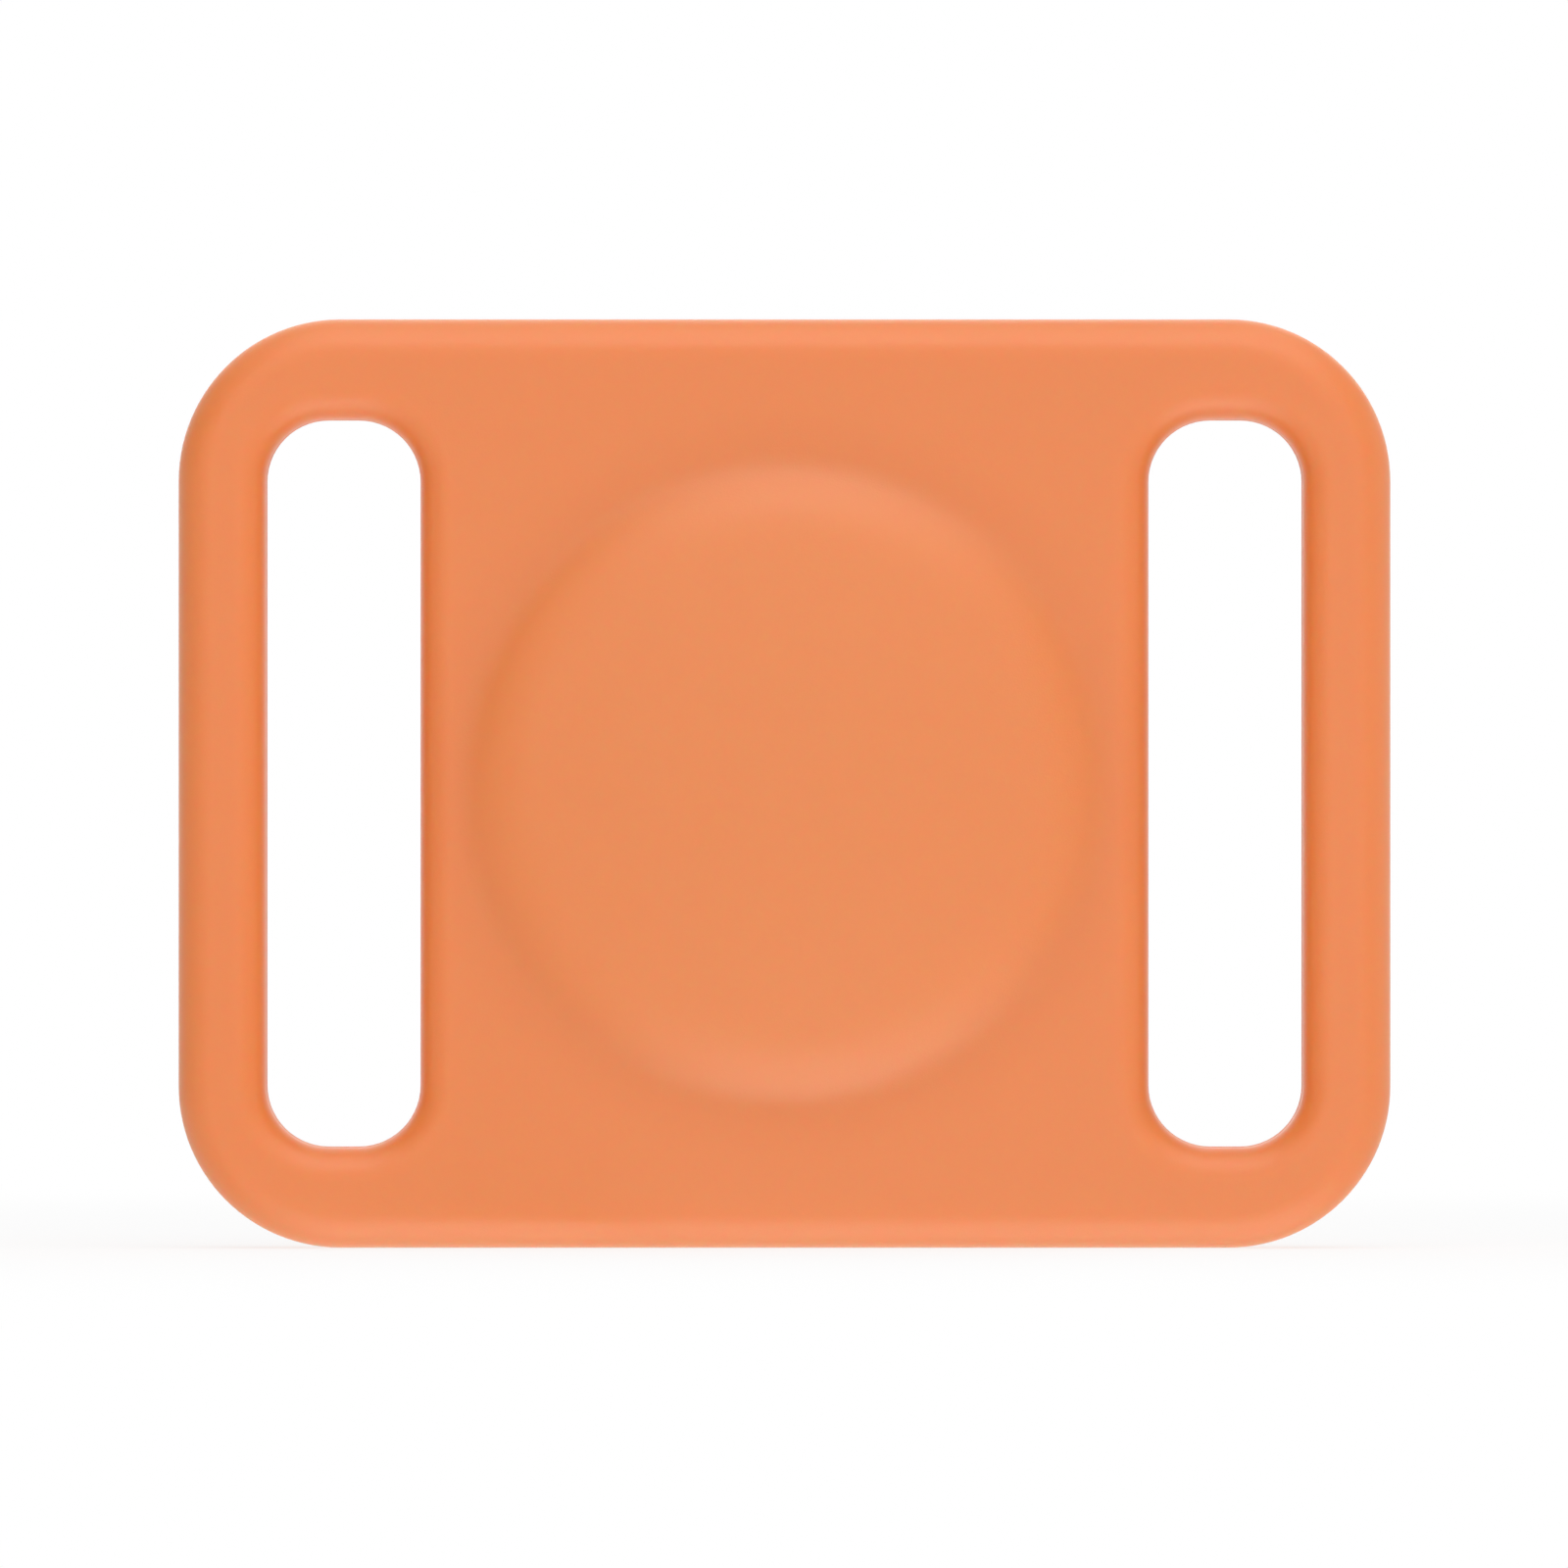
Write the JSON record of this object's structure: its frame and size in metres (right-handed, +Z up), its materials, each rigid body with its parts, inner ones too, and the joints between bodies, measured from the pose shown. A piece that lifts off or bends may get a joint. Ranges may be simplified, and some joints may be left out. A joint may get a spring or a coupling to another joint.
{
  "type": "tracker tag holder",
  "caption": "Soft silicone strap holder with tall side slots and a low round dome over a pocket, holding a coin-shaped tracker tag that pushes out of the back.",
  "frame": {"origin": "centre of the flat back, where the strap lies against it", "axes": "+Y out of the back towards the strap, so the dome faces -Y; +X along the strap; +Z up across the strap"},
  "size_m": [0.064, 0.0096, 0.049],
  "materials": {
    "silicone": "matte soft-touch silicone, orange",
    "white_shell": "glossy white moulded plastic",
    "dark_plastic": "matte dark moulded plastic",
    "seal_rubber": "matte black rubber",
    "polished_steel": "polished stainless steel with fine wear",
    "cell_steel": "nickel-plated steel",
    "cell_core": "dark pressed pellet",
    "spring_bronze": "gold-flashed spring bronze",
    "board_laminate": "green solder mask",
    "tinned_steel": "tinned steel",
    "chip_plastic": "black moulded package",
    "ceramic": "tan ceramic with tinned ends",
    "magnet": "nickel-plated magnet",
    "coil_copper": "enamelled copper winding"
  },
  "bodies": {
    "holder": {"holder_body": "silicone", "retaining_lip": "silicone"},
    "tag": {"tag_front_shell": "white_shell", "tag_back_ring": "white_shell", "battery_tray": "dark_plastic", "cover_seal": "seal_rubber", "cell_can": "cell_steel", "cell_gasket": "dark_plastic", "cell_cap": "cell_steel", "cell_core": "cell_core", "positive_contacts": "spring_bronze", "negative_contact": "spring_bronze", "logic_board": "board_laminate", "radio_shield": "tinned_steel", "processor_chip": "chip_plastic", "clock_crystal": "tinned_steel", "board_passives": "ceramic", "antenna_strips": "spring_bronze", "speaker_yoke": "tinned_steel", "speaker_magnet": "magnet", "pole_plate": "tinned_steel", "voice_coil": "coil_copper"},
    "cover": {"battery_cover": "polished_steel", "cover_insert": "dark_plastic"}
  },
  "joints": [
    {"name": "tag_push_out", "type": "slide", "parent": "holder", "child": "tag", "axis": [0, 1, 0], "range_m": [0, 0.022], "deforming": ["retaining_lip"]},
    {"name": "cover_turn", "type": "hinge", "parent": "tag", "child": "cover", "pos_m": [0, 0, 0], "axis": [0, 1, 0], "range_deg": [0, 30]}
  ]
}
